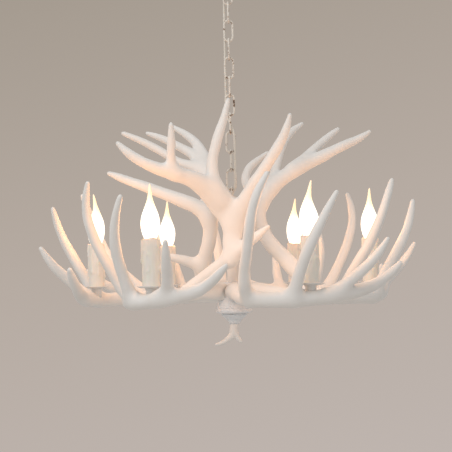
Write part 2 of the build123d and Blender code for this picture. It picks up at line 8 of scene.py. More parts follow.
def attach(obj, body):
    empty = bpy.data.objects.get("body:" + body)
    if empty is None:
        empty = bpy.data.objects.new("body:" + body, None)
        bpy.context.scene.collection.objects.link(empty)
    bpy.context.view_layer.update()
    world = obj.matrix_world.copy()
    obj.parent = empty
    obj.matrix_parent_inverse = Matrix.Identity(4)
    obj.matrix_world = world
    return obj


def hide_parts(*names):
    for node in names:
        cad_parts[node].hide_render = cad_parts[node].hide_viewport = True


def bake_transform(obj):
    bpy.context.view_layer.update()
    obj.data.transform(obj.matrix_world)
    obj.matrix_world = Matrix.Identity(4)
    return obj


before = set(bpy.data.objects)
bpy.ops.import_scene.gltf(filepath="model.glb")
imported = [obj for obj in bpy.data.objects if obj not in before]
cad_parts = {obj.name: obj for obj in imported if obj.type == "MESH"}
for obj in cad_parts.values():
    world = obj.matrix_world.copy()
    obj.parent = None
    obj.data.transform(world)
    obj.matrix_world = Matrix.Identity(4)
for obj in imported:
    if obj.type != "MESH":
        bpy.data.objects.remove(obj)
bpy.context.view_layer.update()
scene = bpy.context.scene

# --- Room ---
# The chandelier hangs in front of a plain warm-grey wall, lit by soft daylight from above and by its own six lamps.
# Only the camera, and what would show through clear glass, sees the wall: its colour with painted shade, darker
# upwards and a little to the left; a plain pale world lights the object.


def linear(hex_colour):
    """An sRGB hex colour as linear RGBA: below 0.04045 it is divided by 12.92, above it takes the 2.4 power."""
    parts = [int(hex_colour[i : i + 2], 16) / 255 for i in (1, 3, 5)]
    return [p / 12.92 if p <= 0.04045 else ((p + 0.055) / 1.055) ** 2.4 for p in parts] + [1.0]


def add_node(tree, kind, settings=(), **links):
    """Add one node: settings are attributes or inputs by name, links are inputs fed by an output socket."""
    made = tree.nodes.new(kind)
    for key, value in dict(settings).items():
        if hasattr(made, key):
            setattr(made, key, value)
        else:
            made.inputs[key].default_value = value
    for key, source in links.items():
        tree.links.new(source, made.inputs[key.replace("_", " ")])
    return made


world = bpy.data.worlds.new("room")
scene.world = world
world.use_nodes = True
sky = world.node_tree
sky.nodes.clear()
direction = add_node(sky, "ShaderNodeTexCoord")
split = add_node(sky, "ShaderNodeSeparateXYZ", Vector=direction.outputs["Generated"])
# Painted shade: the wall colour darkens upwards and a little towards the left, where less light falls on it.
WALL_SHADE_SLANT = -0.22  # the wall darkens upwards and a little towards the left
aside = add_node(sky, "ShaderNodeMath", {"operation": "MULTIPLY_ADD"})
aside.inputs[1].default_value = WALL_SHADE_SLANT
sky.links.new(split.outputs["X"], aside.inputs[0])
sky.links.new(split.outputs["Z"], aside.inputs[2])
height = add_node(sky, "ShaderNodeMapRange", {"From Min": -0.2, "From Max": 0.29}, Value=aside.outputs[0])
wall = add_node(sky, "ShaderNodeValToRGB", (), Fac=height.outputs["Result"])
wall.color_ramp.elements[0].color = linear("#BFB5AF")
wall.color_ramp.elements[1].color = linear("#A59B90")
wall.color_ramp.elements.new(0.5).color = linear("#B6ABA2")
seen = add_node(sky, "ShaderNodeLightPath")
either = add_node(sky, "ShaderNodeMath", {"operation": "MAXIMUM"})
sky.links.new(seen.outputs["Is Camera Ray"], either.inputs[0])
sky.links.new(seen.outputs["Is Transmission Ray"], either.inputs[1])
wall_light = add_node(sky, "ShaderNodeBackground", {"Strength": 1.0}, Color=wall.outputs["Color"])
room_light = add_node(sky, "ShaderNodeBackground", {"Color": linear("#F2F0EF"), "Strength": 0.6})
choice = add_node(sky, "ShaderNodeMixShader", (), Fac=either.outputs[0])
sky.links.new(room_light.outputs[0], choice.inputs[1])
sky.links.new(wall_light.outputs[0], choice.inputs[2])
add_node(sky, "ShaderNodeOutputWorld", (), Surface=choice.outputs[0])

floor_mesh = bpy.data.meshes.new("floor")
FLOOR_HALF, FLOOR_Z = 3, -2.4
floor_corners = [(x * FLOOR_HALF, y * FLOOR_HALF, FLOOR_Z) for x, y in ((-1, -1), (1, -1), (1, 1), (-1, 1))]
floor_mesh.from_pydata(floor_corners, [], [(0, 1, 2, 3)])
floor = bpy.data.objects.new("floor", floor_mesh)
scene.collection.objects.link(floor)
floor_paint = bpy.data.materials.new("floor_matt_screed")
floor_paint.use_nodes = True
floor_shader = floor_paint.node_tree.nodes["Principled BSDF"]
floor_shader.inputs["Base Color"].default_value = linear("#EEE9E3")
floor_shader.inputs["Roughness"].default_value = 0.9
floor_mesh.materials.append(floor_paint)

daylight = bpy.data.lights.new("daylight", "AREA")
daylight.energy = 24.0
daylight.size = 2.2
daylight.color = (0.96, 0.98, 1.0)
daylight_object = bpy.data.objects.new("daylight", daylight)
daylight_object.location = (-0.9, -1.6, 0.75)
daylight_object.rotation_euler = (math.radians(48), 0, math.radians(-29))
scene.collection.objects.link(daylight_object)

# --- Viewpoint ---
# The photograph is taken from 2.25 m, a little above the lower antlers, looking up by 2.6 degrees, rolled by 1.1.
# LEVEL is the height of the lower antlers' beams under the ceiling, in metres.
LEVEL = -0.7283
SENSOR, FOCAL_PIXELS, PHOTO_PIXELS = 36.0, 1119.6, 452
LOOK_UP, ROLL = 0.0458, -0.02
camera_data = bpy.data.cameras.new("viewpoint")
camera_data.sensor_width = SENSOR
camera_data.lens = SENSOR * FOCAL_PIXELS / PHOTO_PIXELS
camera = bpy.data.objects.new("viewpoint", camera_data)
camera.location = (-0.01274, -2.2505, LEVEL + 0.0415)
camera.rotation_euler = (math.radians(90) + LOOK_UP, 0.0, 0.0)
turn = camera.rotation_euler.to_matrix()
spin = [[math.cos(ROLL), -math.sin(ROLL), 0], [math.sin(ROLL), math.cos(ROLL), 0], [0, 0, 1]]
rolled = np.array(turn) @ np.array(spin)
camera.rotation_euler = Matrix(rolled.tolist()).to_euler()
scene.collection.objects.link(camera)
scene.camera = camera
scene.view_settings.view_transform = "Standard"

# --- Antlers ---
# Nine white antlers, cast in polyester resin from real ones, filled, sanded and painted matt. The six lower ones
# carry the candles and sweep round the hub; the three upper ones stand on them and fan out round the chain.


def surface_piece(name, points, faces, material, body=None, slot=None, nodes=()):
    """One shown piece: a mesh at the origin, smooth, riding on its body and standing for its CAD nodes."""
    mesh = bpy.data.meshes.new(name)
    mesh.from_pydata(np.asarray(points, float).reshape(-1, 3).tolist(), [], faces)
    mesh.polygons.foreach_set("use_smooth", np.ones(len(mesh.polygons), bool))
    mesh.materials.append(material)
    mesh.update()
    piece = bpy.data.objects.new(name, mesh)
    scene.collection.objects.link(piece)
    if body:
        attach(piece, body)
    if nodes:
        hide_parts(*nodes)
    return piece


def grid_faces(rows, columns, offset=0):
    """Quads between neighbouring rings of a closed tube, numbered row by row, then one cap at each end."""
    i, k = np.meshgrid(np.arange(rows - 1), np.arange(columns), indexing="ij")
    across = (k + 1) % columns
    quads = np.stack([i * columns + k, i * columns + across, (i + 1) * columns + across, (i + 1) * columns + k], -1)
    ring = np.arange(columns) + offset
    return (quads.reshape(-1, 4) + offset).tolist() + [ring[::-1].tolist(), (ring + (rows - 1) * columns).tolist()]


def eased(stations, steps):
    """Points on a Catmull-Rom curve: each span is the four nearest stations weighted by cubics of its parameter."""
    s = np.asarray(stations, float)
    near = [s[np.clip(np.arange(len(s) - 1) + k, 0, len(s) - 1)][:, None] for k in (-1, 0, 1, 2)]
    t = (np.arange(steps) / steps)[None, :, None]
    weights = (
        -t / 2 + t**2 - t**3 / 2, 1 - 2.5 * t**2 + 1.5 * t**3,
        t / 2 + 2 * t**2 - 1.5 * t**3, (t**3 - t**2) / 2,
    )
    rows = sum(w * p for w, p in zip(weights, near)).reshape(-1, s.shape[1])
    return np.vstack([rows, s[-1:]])


def framed(rows, across=None):
    """The side and up vectors of each ring: square to the path and carried along it without twisting.

    The first side lies along across, or else level and square to the path.
    """
    along = np.gradient(np.asarray(rows, float)[:, :3], axis=0)
    along /= np.linalg.norm(along, axis=1)[:, None]
    side = np.cross(along[0], (0, 0, 1.0)) if abs(along[0][2]) < 0.95 else np.array((1.0, 0, 0))
    side = np.array(across, float) if across else side
    sides = []
    for way in along:
        side = side - way * side.dot(way)
        side = side / np.linalg.norm(side)
        sides.append(side)
    return np.array(sides), np.cross(along, np.array(sides))


def carried(rows, sides, across=None):
    """An oval carried along a path: ring i is centre + side*cos(a)*width/2 + up*sin(a)*thickness/2."""
    rows = np.asarray(rows, float)
    side, up = framed(rows, across)
    a = 2 * np.pi * np.arange(sides) / sides
    return (
        rows[:, None, :3]
        + side[:, None] * (np.cos(a)[None, :, None] * rows[:, None, 3:4] / 2)
        + up[:, None] * (np.sin(a)[None, :, None] * rows[:, None, 4:5] / 2)
    )


def limb_distance(p, limb):
    """How far points lie outside one limb: the least r - r/m over its spans.

    r is the offset from the span's nearest point, and m is that offset counted in half widths of the oval there.
    """
    rows, across = limb
    side, up = framed(rows, across)
    least = np.full(len(p), 99.0)
    reach = rows[:, 3].max() / 2 + 26
    near = np.flatnonzero(((p > rows[:, :3].min(0) - reach) & (p < rows[:, :3].max(0) + reach)).all(1))
    q = p[near]
    best = least[near]
    for i in range(len(rows) - 1):
        span = rows[i + 1, :3] - rows[i, :3]
        length = np.linalg.norm(span)
        t = np.clip((q - rows[i, :3]) @ span / length**2, 0, 1)[:, None]
        off = q - rows[i, :3] - t * span
        half = (rows[i, 3:5] * (1 - t) + rows[i + 1, 3:5] * t) / 2
        u = (off * (side[i] * (1 - t) + side[i + 1] * t)).sum(1) / half[:, 0]
        v = (off * (up[i] * (1 - t) + up[i + 1] * t)).sum(1) / half[:, 1]
        w = off @ span / length / half.min(1)
        r = np.linalg.norm(off, axis=1) + 1e-9
        best = np.minimum(best, r - r / (np.sqrt(u**2 + v**2 + w**2) + 1e-9))
    least[near] = best
    return least


def point_normals(p, quads):
    """Unit normals: the cross product of each quad's diagonals, summed at its four corners."""
    facing = np.cross(p[quads[:, 2]] - p[quads[:, 0]], p[quads[:, 3]] - p[quads[:, 1]])
    total = np.stack(
        [sum(np.bincount(quads[:, k], facing[:, axis], len(p)) for k in range(4)) for axis in range(3)], 1)
    return total / (np.linalg.norm(total, axis=1)[:, None] + 1e-12)


LIMB_SIDES = 20  # round each limb before the voxel grid
EVENING = 0.6  # the share of the way that one pass moves a point to the middle of its neighbours
LONGEST_SLIDE = 4.0  # mm, the furthest that one pass moves a point onto the limbs' surface


def grown_together(name, limbs, voxel, web):
    """One skin over crossing limbs, in mm: a voxel grid finds it, then its points slide onto the limbs' surface.

    Two limbs at distances a and b join as min(a, b) - max(web - |a - b|, 0)**2 / (4 * web), which rounds the fork
    between them; each pass evens the points out along the surface and moves them back onto it.
    """
    points, faces, start = [], [], 0
    for rows, across in limbs:
        ahead, behind = rows[-1, :3] - rows[-2, :3], rows[0, :3] - rows[1, :3]
        ends = [
            [*(base[:3] + way / np.linalg.norm(way) * math.sin(a) * base[3] / 2), *(base[3:] * math.cos(a))]
            for base, way, angles in ((rows[0], behind, (1.4, 1.1, 0.7)), (rows[-1], ahead, (0.7, 1.1, 1.4)))
            for a in angles
        ]
        rings = carried(np.vstack([ends[:3], rows, ends[3:]]), LIMB_SIDES, across)
        points.append(rings.reshape(-1, 3))
        faces += grid_faces(len(rings), LIMB_SIDES, start)
        start += len(rings) * LIMB_SIDES
    mesh = bpy.data.meshes.new(name)
    mesh.from_pydata(np.vstack(points).tolist(), [], faces)
    rough = bpy.data.objects.new(name, mesh)
    scene.collection.objects.link(rough)
    skin = rough.modifiers.new("skin", "REMESH")
    skin.mode = "VOXEL"
    skin.voxel_size = voxel
    bpy.context.view_layer.update()
    made = bpy.data.meshes.new_from_object(rough.evaluated_get(bpy.context.evaluated_depsgraph_get()))
    bpy.data.objects.remove(rough)
    p = np.empty(len(made.vertices) * 3, np.float32)
    made.vertices.foreach_get("co", p)
    p = p.reshape(-1, 3).astype(float)
    quads = np.array([tuple(face.vertices) for face in made.polygons])
    joined = np.vstack([quads[:, [k, (k + 1) % 4]] for k in range(4)])
    count = np.bincount(joined[:, 0], minlength=len(p))[:, None] + 1e-9
    for evening in (3, 2, 2, 1):
        for _ in range(evening):
            middle = np.stack(
                [np.bincount(joined[:, 0], p[joined[:, 1], axis], len(p)) for axis in range(3)], 1) / count
            p = p + EVENING * (middle - p)
        gap = limb_distance(p, limbs[0])
        for limb in limbs[1:]:
            other = limb_distance(p, limb)
            gap = np.minimum(gap, other) - np.maximum(web - abs(gap - other), 0) ** 2 / (4 * web)
        p = p - point_normals(p, quads) * np.clip(gap, -LONGEST_SLIDE, LONGEST_SLIDE)[:, None]
    return p / 1000, point_normals(p, quads), quads.tolist()


def lumps(p, seed):
    """Hand-sanded unevenness: a sum of sine waves 24 to 71 mm long across the piece, from -1 to 1."""
    k = np.array([[71, 23, 48], [-39, 92, 31], [118, -64, 85], [57, 141, -102], [190, 75, 160]], float)
    phase = np.array([0.3, 1.7, 2.9, 4.1, 5.3]) * (seed + 1)
    share = np.array([0.34, 0.27, 0.18, 0.13, 0.08])
    return (np.sin(p @ k.T + phase) * share).sum(1)


# Cast resin under matt paint: white, mottled between two near tones, with a faint grain about 4 mm wide, drawn
# coarse enough to show.
resin = bpy.data.materials.new("cast_resin_matt_white")
resin.use_nodes = True
tree = resin.node_tree
shader = tree.nodes["Principled BSDF"]
place = add_node(tree, "ShaderNodeTexCoord").outputs["Object"]
mottle = add_node(tree, "ShaderNodeTexNoise", {"Scale": 22.0, "Detail": 3.0, "Roughness": 0.55}, Vector=place)
tone = add_node(tree, "ShaderNodeMix", {"data_type": "RGBA"}, Factor=mottle.outputs["Fac"])
tone.inputs[6].default_value = linear("#E4DFD8")
tone.inputs[7].default_value = linear("#EFECE8")
tree.links.new(tone.outputs[2], shader.inputs["Base Color"])
sheen = add_node(tree, "ShaderNodeMapRange", {"To Min": 0.42, "To Max": 0.6}, Value=mottle.outputs["Fac"])
tree.links.new(sheen.outputs["Result"], shader.inputs["Roughness"])
grain = add_node(tree, "ShaderNodeTexNoise", {"Scale": 260.0, "Detail": 4.0, "Roughness": 0.6}, Vector=place)
swell = add_node(tree, "ShaderNodeTexNoise", {"Scale": 55.0, "Detail": 2.0}, Vector=place)
relief = add_node(tree, "ShaderNodeMath", {"operation": "MULTIPLY_ADD"})
relief.inputs[1].default_value = 3.0
tree.links.new(swell.outputs["Fac"], relief.inputs[0])
tree.links.new(grain.outputs["Fac"], relief.inputs[2])
bump = add_node(tree, "ShaderNodeBump", {"Strength": 0.22, "Distance": 0.0004}, Height=relief.outputs[0])
tree.links.new(bump.outputs["Normal"], shader.inputs["Normal"])
shader.inputs["Specular IOR Level"].default_value = 0.4


def grown(*stations, across=None):
    """One limb from stations of x, y, z, width and, where it is flatter, thickness, in mm; across is its wide way.

    The last step of each limb closes as an egg-shaped tip: its girth falls to 0.4 of the station's own.
    """
    rows = eased([(*p[:4], p[-1]) for p in stations], 5)
    tip = [rows[-2] + (rows[-1] - rows[-2]) * share for share in (0.3, 0.6, 0.8, 0.92)]
    girths = [[1, 1, 1, g, g] for g in (0.97, 0.85, 0.64, 0.4)]
    return np.vstack([rows[:-1], np.array(tip) * girths]), across


LOWER = [
    grown(
        (0, -23, 13, 35), (1, -48, 13, 36), (4, -80, 10, 29), (9, -145, 4, 27), (16, -200, 3, 29),
        (34, -234, 1, 30),
        (62, -252, 0, 29), (98, -260, 0, 29), (134, -247, 1, 34, 28), (166, -240, 4, 30, 28), (200, -226, 9, 27),
        (230, -211, 15, 24), (254, -199, 23, 21), (276, -190, 36, 18), (293, -184, 49, 15), (307, -178, 62, 8)),
    grown(
        (21, -228, 3, 24), (17, -239, 14, 25), (14, -250, 28, 24), (14, -267, 55, 21), (18, -290, 90, 20),
        (22, -308, 125, 19), (28, -321, 160, 17), (39, -327, 192, 15), (55, -329, 221, 8)),
    grown(
        (98, -258, 3, 23), (101, -267, 14, 25), (105, -275, 28, 23), (111, -286, 50, 21), (123, -302, 85, 20),
        (140, -313, 120, 18), (156, -317, 152, 15), (176, -315, 188, 8)),
    grown(
        (168, -239, 7, 22), (184, -238, 16, 23), (200, -240, 28, 21), (220, -248, 45, 20), (241, -259, 65, 18),
        (256, -267, 84, 15), (269, -274, 105, 8)),
]
# Each antler's place round the hub and its own small yaw, in degrees.
SLOTS = {
    "a": (0.0, 1.0), "b": (-60.0, -2.0), "c": (-120.0, 1.5),
    "d": (180.0, 2.5), "e": (120.0, 0.5), "f": (60.0, -4.0),
}
VOXEL = 2.1  # mm
WEB = 15.0  # mm, how wide the forks are rounded
WEDGE_HALF_ANGLE, WEDGE_REACH = 27.0, 0.052  # the butt is cut to a wedge inside this radius of the hub
SEAT_UNDER, SEAT_OVER = 0.0148, 0.0152  # the lower and upper antlers meet at 15 mm, with 0.4 mm between them
CAST_LUMPS, FAN_LUMPS = 0.0007, 0.0008  # how far the sanding strays, on the lower and on the upper antlers
# Where the upper antlers stand, in metres, and the lower antler under each.
SEATS = {"front": (-0.086, -0.052), "left": (-0.012, 0.092), "right": (0.138, -0.076)}
CARRIERS = {"b": "front", "d": "left", "f": "right"}

lower_skin, lower_normal, lower_faces = grown_together("lower_skin", LOWER, VOXEL, WEB)
flank = np.tan(np.radians(WEDGE_HALF_ANGLE)) * -lower_skin[:, 1]
near_hub = (np.hypot(lower_skin[:, 0], lower_skin[:, 1]) < WEDGE_REACH) & (lower_skin[:, 1] < 0)
lower_skin[near_hub, 0] = np.clip(lower_skin[near_hub, 0], -flank[near_hub], flank[near_hub])
for name, (slot_angle, yaw) in SLOTS.items():
    a = math.radians(slot_angle + yaw)
    spin = np.array([[math.cos(a), -math.sin(a), 0], [math.sin(a), math.cos(a), 0], [0, 0, 1]])
    skin = (lower_skin + lower_normal * CAST_LUMPS * lumps(lower_skin, ord(name) - 96)[:, None]) @ spin.T
    if name in CARRIERS:
        x, y = SEATS[CARRIERS[name]]
        on_seat = (abs(skin[:, 0] - x) < 0.02) & (abs(skin[:, 1] - y) < 0.02)
        skin[on_seat, 2] = np.minimum(skin[on_seat, 2], SEAT_UNDER)
    skin[:, 2] += LEVEL
    surface_piece(f"lower_antler_{name}_cast", skin, lower_faces, resin, "frame", "antler_resin",
                  [f"lower_antler_{name}"])

FACING = (1, 0, 0)  # the palm of the front antler lies flat to the room
UPPER = {
    "front": [
        grown(
            (-92, -52, 14, 30), (-66, -54, 34, 29), (-38, -64, 54, 28), (-8, -74, 78, 27), (19, -81, 100, 23),
            (45, -87, 119, 19), (70, -92, 139, 8)),
        grown(
            (-4, -74, 74, 26), (-3, -66, 106, 34, 27), (0, -62, 132, 38, 27), (-3, -61, 156, 46, 27),
            (-15, -65, 178, 52, 26),
            (-33, -77, 201, 50, 25), (-54, -92, 219, 42, 24), (-78, -109, 232, 34, 22), (-110, -126, 241, 29, 21),
            (-140, -138, 250, 24, 20), (-168, -147, 262, 20, 18), (-194, -151, 279, 17, 16), (-215, -150, 299, 8),
            across=FACING),
        grown(
            (-24, -71, 192, 30, 25), (-32, -80, 214, 32, 25), (-37, -85, 242, 26, 23), (-36, -83, 272, 21),
            (-27, -78, 309, 19),
            (-14, -74, 349, 16), (-3, -72, 391, 8), across=FACING),
        grown(
            (-106, -124, 243, 20), (-112, -130, 256, 20), (-114, -139, 272, 18), (-113, -148, 300, 16),
            (-112, -158, 333, 8), across=FACING),
        grown(
            (0, -62, 146, 34, 26), (13, -67, 170, 34, 26), (30, -77, 198, 29, 25), (47, -91, 226, 24),
            (64, -102, 250, 22),
            (80, -111, 274, 21), (96, -120, 300, 19), (107, -129, 325, 15), (113, -136, 349, 8), across=FACING),
    ],
    "left": [
        grown(
            (-8, 93, 20, 28), (-46, 86, 28, 29), (-63, 66, 46, 31), (-63, 50, 64, 31), (-56, 40, 88, 29),
            (-48, 32, 116, 28),
            (-45, 28, 146, 29), (-54, 29, 170, 34, 30), (-74, 36, 188, 30), (-104, 48, 202, 27),
            (-140, 62, 217, 25),
            (-176, 74, 232, 22), (-206, 82, 244, 19), (-234, 87, 255, 16), (-258, 90, 265, 8)),
        grown(
            (-46, 28, 158, 24), (-43, 42, 192, 26), (-41, 62, 222, 28, 26), (-46, 82, 248, 32, 25),
            (-60, 96, 266, 28, 22),
            (-84, 106, 277, 21), (-112, 113, 289, 18), (-148, 121, 312, 17), (-192, 129, 337, 15),
            (-231, 132, 354, 8)),
        grown(
            (-50, 86, 252, 22), (-61, 106, 276, 22), (-84, 132, 306, 19), (-115, 149, 327, 17),
            (-147, 160, 344, 15),
            (-182, 168, 358, 8)),
        grown(
            (-46, 80, 248, 24), (-49, 104, 276, 24), (-58, 127, 304, 23), (-73, 148, 330, 20),
            (-95, 167, 352, 17),
            (-129, 189, 375, 8)),
        grown((-60, 46, 66, 23), (-78, 45, 71, 22), (-104, 41, 79, 20), (-126, 37, 85, 15), (-142, 34, 89, 8)),
    ],
    "right": [
        grown(
            (142, -80, 16, 32), (137, -60, 34, 33), (124, -42, 51, 33), (103, -18, 77, 31), (80, 4, 103, 30),
            (64, 22, 130, 29),
            (55, 31, 163, 29), (60, 36, 192, 32), (75, 42, 216, 33), (98, 50, 238, 31), (130, 62, 260, 30),
            (178, 82, 284, 26),
            (230, 96, 310, 21), (272, 106, 329, 16), (297, 112, 345, 8)),
        grown((130, 62, 264, 21), (150, 79, 283, 20), (170, 101, 302, 18), (206, 130, 334, 16), (234, 145, 356, 8)),
        grown((80, 46, 222, 22), (87, 64, 246, 20), (102, 96, 296, 17), (124, 126, 342, 16), (157, 143, 369, 8)),
        grown(
            (60, 38, 196, 23), (44, 52, 213, 21), (30, 74, 240, 18), (36, 92, 266, 17), (53, 101, 284, 15),
            (80, 109, 304, 8)),
    ],
}
for number, (side_name, limbs) in enumerate(UPPER.items()):
    skin, normal, faces = grown_together(f"{side_name}_skin", limbs, VOXEL, WEB)
    skin = skin + normal * FAN_LUMPS * lumps(skin, number + 9)[:, None]
    x, y = SEATS[side_name]
    at_butt = (abs(skin[:, 0] - x) < 0.03) & (abs(skin[:, 1] - y) < 0.03)
    skin[at_butt, 2] = np.maximum(skin[at_butt, 2], SEAT_OVER)
    skin[:, 2] += LEVEL
    surface_piece(f"upper_antler_{side_name}_cast", skin, faces, resin, "frame", "antler_resin",
                  [f"upper_antler_{side_name}"])

# --- Hub, rim plate and finial ---
# A turned cone that the six butts are screwed to, a round plate under it, and a small cup with a forked antler tip.
# They are dipped in a thick textured paint that dries like frosted plaster.


def turned(profile, sides=64, centre=(0.0, 0.0), lift=0.0):
    """A lathe surface: each profile point (radius, height), in mm, becomes the ring radius*(cos, sin), height."""
    rows = np.asarray(profile, float) / 1000
    a = 2 * np.pi * np.arange(sides) / sides
    ring = np.stack([np.cos(a), np.sin(a), np.zeros(sides)], -1)
    points = rows[:, 0][:, None, None] * ring[None] + np.array([0, 0, 1.0]) * rows[:, 1][:, None, None]
    return points + np.array([centre[0], centre[1], lift])


CRUST_STEP, CRUST_SIDES = 1.3, 128
CRUST_DEPTH = 1.2


def crusted(profile, seed, depth):
    """A lathe form under thick paint: the profile is split every 1.3 mm and its radius grows by depth*(waves + 0.4).

    The waves run from -1 to 1. Points at the bore and on the flat faces that meet another piece stay in place.
    """
    rows = np.asarray(profile, float)
    fine = [rows[:1]]
    for start, end in zip(rows, rows[1:]):
        pieces = max(1, int(np.linalg.norm(end - start) / CRUST_STEP))
        share = (np.arange(pieces) + 1)[:, None] / pieces
        fine.append(start + (end - start) * share)
    rows = np.vstack(fine)
    points = turned(rows, CRUST_SIDES, lift=LEVEL)
    radius = np.hypot(points[..., 0], points[..., 1])
    free = (radius > 0.02) | (rows[:, 1, None] < rows[:, 1].min() + 20) & (radius > 0.0085)
    flat = np.isclose(rows[:, 1], rows[0, 1]) | np.isclose(rows[:, 1], rows[-1, 1])
    wave = lumps(points.reshape(-1, 3) * 5.5, seed).reshape(radius.shape) + 0.4
    push = depth / 1000 * wave * free * ~flat[:, None]
    points[..., :2] *= (1 + push / np.maximum(radius, 1e-4))[..., None]
    return points, grid_faces(len(points), CRUST_SIDES)


plaster = bpy.data.materials.new("textured_plaster_paint")
plaster.use_nodes = True
tree = plaster.node_tree
shader = tree.nodes["Principled BSDF"]
place = add_node(tree, "ShaderNodeTexCoord").outputs["Object"]
grit = add_node(tree, "ShaderNodeTexVoronoi", {"Scale": 420.0, "feature": "SMOOTH_F1"}, Vector=place)
crust = add_node(tree, "ShaderNodeTexNoise", {"Scale": 130.0, "Detail": 6.0, "Roughness": 0.7}, Vector=place)
tone = add_node(tree, "ShaderNodeMix", {"data_type": "RGBA"}, Factor=crust.outputs["Fac"])
tone.inputs[6].default_value = linear("#E8E8E8")
tone.inputs[7].default_value = linear("#FAFBFC")
tree.links.new(tone.outputs[2], shader.inputs["Base Color"])
shader.inputs["Roughness"].default_value = 0.7
relief = add_node(tree, "ShaderNodeMath", {"operation": "MULTIPLY_ADD"})
relief.inputs[1].default_value = 1.6
tree.links.new(crust.outputs["Fac"], relief.inputs[0])
tree.links.new(grit.outputs["Distance"], relief.inputs[2])
bump = add_node(tree, "ShaderNodeBump", {"Strength": 1.0, "Distance": 0.0016}, Height=relief.outputs[0])
tree.links.new(bump.outputs["Normal"], shader.inputs["Normal"])

cone_profile = [
    (5.5, 32), (15, 32), (21.5, 31), (23, 28.5), (26, 10), (29.5, -4), (33.5, -17), (34.8, -19.5), (35, -21),
    (5.5, -21),
]
rim_profile = [(5.5, -21), (35, -21), (35.8, -22.5), (36, -26), (34.5, -29), (28, -31), (5.5, -31)]
cup_profile = [
    (5.5, -31.4), (24.3, -31.4), (25, -32.2), (25, -33.6), (20.5, -38.4), (13, -45), (10.5, -49), (10, -51.4),
    (5.5, -51.4),
]
for name, profile, body, nodes in (
    ("hub_cone_plastered", cone_profile, "frame", ["hub_cone"]),
    ("hub_rim_plastered", rim_profile, "frame", ["hub_rim_plate"]),
    ("finial_cup_plastered", cup_profile, "finial", ["finial_cup"]),
):
    surface_piece(name, *crusted(profile, len(name), CRUST_DEPTH), plaster, body, "hub_plaster_paint", nodes)

FORK = [
    grown(
        (0, 0, -46, 18), (-1, 0, -60, 16), (-4, 0, -73, 15, 12), (-13, 0, -82, 11), (-24, 0, -89, 8.5),
        (-37, 0, -93, 6)),
    grown((-1, 0, -64, 12), (5, 0, -77, 10), (13, 0, -88, 6)),
]
FORK_VOXEL, FORK_WEB = 0.8, 4.0
fork_skin, _, fork_faces = grown_together("fork_skin", FORK, FORK_VOXEL, FORK_WEB)
fork_skin[:, 2] += LEVEL
surface_piece("finial_fork_cast", fork_skin, fork_faces, resin, "finial", "antler_resin", ["finial_fork"])

# --- Column and spider ---
# A resin-coated tube from the hub up to the loop, with a collar whose three arms pin the upper antlers to it.
column_profile = [(5.6, 32), (11.5, 32), (12, 33), (12, 193), (11.5, 194), (5.6, 194)]
surface_piece("column_sleeved", turned(column_profile, 40, lift=LEVEL), grid_faces(len(column_profile), 40), resin,
              "frame", "hub_plaster_paint", ["column_tube"])

# --- Candle seats ---
# On each lower antler: a short painted neck, a thin stamped drip pan and a cast sleeve made to look like wax.
enamel = bpy.data.materials.new("satin_enamelled_steel")
enamel.use_nodes = True
tree = enamel.node_tree
shader = tree.nodes["Principled BSDF"]
place = add_node(tree, "ShaderNodeTexCoord").outputs["Object"]
cloud = add_node(tree, "ShaderNodeTexNoise", {"Scale": 60.0, "Detail": 3.0}, Vector=place)
tone = add_node(tree, "ShaderNodeMix", {"data_type": "RGBA"}, Factor=cloud.outputs["Fac"])
tone.inputs[6].default_value = linear("#E2DED8")
tone.inputs[7].default_value = linear("#EFEDEA")
tree.links.new(tone.outputs[2], shader.inputs["Base Color"])
shader.inputs["Roughness"].default_value = 0.38
peel = add_node(tree, "ShaderNodeTexNoise", {"Scale": 500.0, "Detail": 2.0}, Vector=place)
bump = add_node(tree, "ShaderNodeBump", {"Strength": 0.2, "Distance": 0.0002}, Height=peel.outputs["Fac"])
tree.links.new(bump.outputs["Normal"], shader.inputs["Normal"])

# Cast sleeve in ivory polyester: waxy, a little translucent-looking, yellower where it ran and pooled.
wax = bpy.data.materials.new("ivory_wax_look_resin")
wax.use_nodes = True
tree = wax.node_tree
shader = tree.nodes["Principled BSDF"]
place = add_node(tree, "ShaderNodeTexCoord").outputs["Object"]
stretch = add_node(tree, "ShaderNodeMapping", {"Scale": (1.0, 1.0, 0.12)}, Vector=place)
runs = add_node(tree, "ShaderNodeTexNoise", {"Scale": 170.0, "Detail": 4.0, "Roughness": 0.6},
                Vector=stretch.outputs[0])
tone = add_node(tree, "ShaderNodeMix", {"data_type": "RGBA"}, Factor=runs.outputs["Fac"])
tone.inputs[6].default_value = linear("#DED6C9")
tone.inputs[7].default_value = linear("#F3EEE5")
tree.links.new(tone.outputs[2], shader.inputs["Base Color"])
shader.inputs["Roughness"].default_value = 0.45
shader.inputs["Subsurface Weight"].default_value = 0.15
shader.inputs["Subsurface Radius"].default_value = (0.006, 0.003, 0.0015)
shader.inputs["Subsurface Scale"].default_value = 1.0
bump = add_node(tree, "ShaderNodeBump", {"Strength": 0.4, "Distance": 0.0006}, Height=runs.outputs["Fac"])
tree.links.new(bump.outputs["Normal"], shader.inputs["Normal"])


SLEEVE_SIDES, DRIPS = 96, 15
SLEEVE_RADIUS, SLEEVE_BORE, SLEEVE_HEIGHT, DRIP_LIMIT = 16.0, 14.5, 88.0, 18.8  # mm


